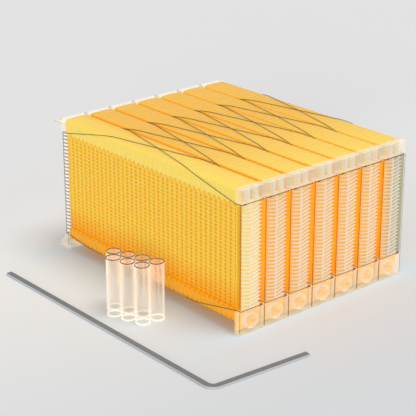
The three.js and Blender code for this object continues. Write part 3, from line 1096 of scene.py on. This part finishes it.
class FLOWCOMB_OT_comb(bpy.types.Operator):
    """Build the fixed and the moving slices of every frame"""

    bl_idname = "flowcomb.comb"
    bl_label = "Comb slices"

    def execute(self, context):
        settings = context.scene.flow_comb.comb
        plastic = comb_plastic(settings)
        for moving, kind, body in ((False, "fixed", "frame"), (True, "moving", "cell_shift")):
            mesh = stacked_slices(settings, moving)
            add_row(f"{kind}_slices", mesh, [plastic], body, f"comb_{kind}")
        return {"FINISHED"}


class FLOWCOMB_OT_ends(bpy.types.Operator):
    """Build the clear end frames"""

    bl_idname = "flowcomb.ends"
    bl_label = "End frames"

    def execute(self, context):
        settings = context.scene.flow_comb.ends
        finishes = end_finishes(settings)
        # The trough's finish has a strong painted glow.
        trough = clear_plastic("honey trough", settings.trough, 0.8, 0.95, 0.3, painted_emission=0.4)
        pieces = (
            ("front_end", front_end_mesh(settings), finishes, "front_end_frame"),
            ("honey_trough", trough_mesh(settings), [trough], "front_end_frame"),
            ("rear_end", rear_end_mesh(settings), finishes, "rear_end_frame"),
        )
        for kind, mesh, materials, node in pieces:
            add_row(kind, mesh, materials, "frame", node)
        return {"FINISHED"}


class FLOWCOMB_OT_plugs(bpy.types.Operator):
    """Build the outlet plugs"""

    bl_idname = "flowcomb.plugs"
    bl_label = "Outlet plugs"

    def execute(self, context):
        settings = context.scene.flow_comb.ends
        # The plugs' finish has a painted glow.
        plastics = [clear_plastic("plug plastic", settings.plug, 0.04, 0.95, painted_emission=0.35)]
        add_row("plug_cup", plug_mesh(), plastics, "plug", "outlet_plug")
        return {"FINISHED"}


class FLOWCOMB_OT_wires(bpy.types.Operator):
    """Build the tension wires"""

    bl_idname = "flowcomb.wires"
    bl_label = "Tension wires"

    def execute(self, context):
        settings = context.scene.flow_comb.wires
        steel = drawn_steel("wire steel", settings.colour, (1, 0.1, 1), 0.35)
        ends = context.scene.flow_comb.ends
        shoulder = context.scene.flow_comb.comb.shoulder
        high = TOP - ends.cap - ANCHOR_LIFT
        low = (ends.foot + ANCHOR_LIFT, ends.rear_foot + ANCHOR_LIFT)
        loops = (
            ("top", TOP, 1, (high, high), TOP_CRIMP),
            ("bottom", FIXED_LOW.z, -1, low, LOW_CRIMP),
        )
        for kind, outer, away, anchors, crimp in loops:
            mesh = wire_mesh(settings, outer, away, shoulder, anchors, crimp)
            add_row(f"{kind}_strands", mesh, [steel], "frame", f"{kind}_wire")
        return {"FINISHED"}


class FLOWCOMB_OT_tubes(bpy.types.Operator):
    """Build the harvest tubes"""

    bl_idname = "flowcomb.tubes"
    bl_label = "Harvest tubes"

    def execute(self, context):
        settings = context.scene.flow_comb.kit
        # Painted shade on the tube's top rim.
        rim = (TUBE_HIGH.z - RIM_SHADE_HEIGHT, settings.rim)
        # The tube's finish: painted shade on its top rim, painted reflections and a painted glow.
        plastic = clear_plastic(
            "clear tube", settings.tube_tint, 0.06, 0.8, 0.05, rim, 0.35, TUBE_REFLECTIONS
        )
        mesh = tube_mesh(settings)
        for number in NUMBERS:
            low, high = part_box(f"harvest_tube_{number}")
            add_piece(
                f"tube_wall_{number}", mesh, [plastic], f"tube_{number}",
                f"harvest_tube_{number}", ((low.x + high.x) / 2, (low.y + high.y) / 2, low.z),
            )
        return {"FINISHED"}


class FLOWCOMB_OT_key(bpy.types.Operator):
    """Finish the flat key"""

    bl_idname = "flowcomb.key"
    bl_label = "Key"

    def execute(self, context):
        settings = context.scene.flow_comb.kit
        steel = drawn_steel(
            "key steel", settings.key_colour, (1, 0.05, 1), 0.45, 0.35, settings.key_side_reflection
        )
        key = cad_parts["key"]
        key.data.materials.clear()
        key.data.materials.append(steel)
        return {"FINISHED"}


class FLOWCOMB_OT_stage(bpy.types.Operator):
    """Set up the floor, the lights and the camera"""

    bl_idname = "flowcomb.stage"
    bl_label = "Stage"

    def execute(self, context):
        settings = context.scene.flow_comb.stage
        bm = bmesh.new()
        bmesh.ops.create_grid(bm, x_segments=1, y_segments=1, size=FLOOR_HALF)
        bmesh.ops.translate(bm, vec=(0, 0, -FLOOR_DROP), verts=bm.verts)
        mesh = to_mesh(bm, "floor")
        mesh.materials.append(floor_finish(settings))
        add_object("floor", mesh)
        add_camera(settings)
        add_lights(settings)
        context.scene.view_settings.view_transform = "Standard"
        return {"FINISHED"}


def add_camera(settings):
    data = bpy.data.cameras.new("camera")
    data.lens = settings.lens
    camera = add_object("camera", data)
    across, up = settings.azimuth, settings.elevation
    back = Vector(
        (math.sin(across) * math.cos(up), -math.cos(across) * math.cos(up), math.sin(up))
    )
    camera.location = Vector(settings.aim) + back * settings.distance
    camera.rotation_euler = back.to_track_quat("Z", "Y").to_euler()
    bpy.context.scene.camera = camera


def add_sun(name, towards, strength):
    data = bpy.data.lights.new(name, "SUN")
    data.energy = strength
    data.angle = SUN_WIDTH
    sun = add_object(name, data)
    sun.rotation_euler = Vector(towards).to_track_quat("Z", "Y").to_euler()


def add_lights(settings):
    """Even light all round, a soft light overhead, and a low one that reaches into the cells."""
    world = bpy.data.worlds.new("studio")
    bpy.context.scene.world = world
    world.use_nodes = True
    sky = world.node_tree.nodes["Background"].inputs
    sky["Color"].default_value = (1, 1, 1, 1)
    sky["Strength"].default_value = settings.dome
    add_sun("overhead light", OVERHEAD_FROM, settings.overhead)
    add_sun("low light", LOW_FROM, settings.low)


class FLOWCOMB_PT_pack(bpy.types.Panel):
    """The buttons that build the pack"""

    bl_label = "Flow Comb Pack"
    bl_space_type = "VIEW_3D"
    bl_region_type = "UI"
    bl_category = "Flow Comb"

    def draw(self, context):
        for operator in OPERATORS:
            self.layout.operator(operator.bl_idname)


SETTINGS = (CombSettings, EndSettings, WireSettings, KitSettings, StageSettings, PackSettings)
OPERATORS = (
    FLOWCOMB_OT_comb,
    FLOWCOMB_OT_ends,
    FLOWCOMB_OT_plugs,
    FLOWCOMB_OT_wires,
    FLOWCOMB_OT_tubes,
    FLOWCOMB_OT_key,
    FLOWCOMB_OT_stage,
)
CLASSES = SETTINGS + OPERATORS + (FLOWCOMB_PT_pack,)


def register():
    for item in CLASSES:
        bpy.utils.register_class(item)
    bpy.types.Scene.flow_comb = PointerProperty(type=PackSettings)


def unregister():
    del bpy.types.Scene.flow_comb
    for item in reversed(CLASSES):
        bpy.utils.unregister_class(item)


def main():
    register()
    bpy.ops.flowcomb.comb()
    bpy.ops.flowcomb.ends()
    bpy.ops.flowcomb.plugs()
    bpy.ops.flowcomb.wires()
    bpy.ops.flowcomb.tubes()
    bpy.ops.flowcomb.key()
    bpy.ops.flowcomb.stage()


if __name__ == "__main__":
    main()
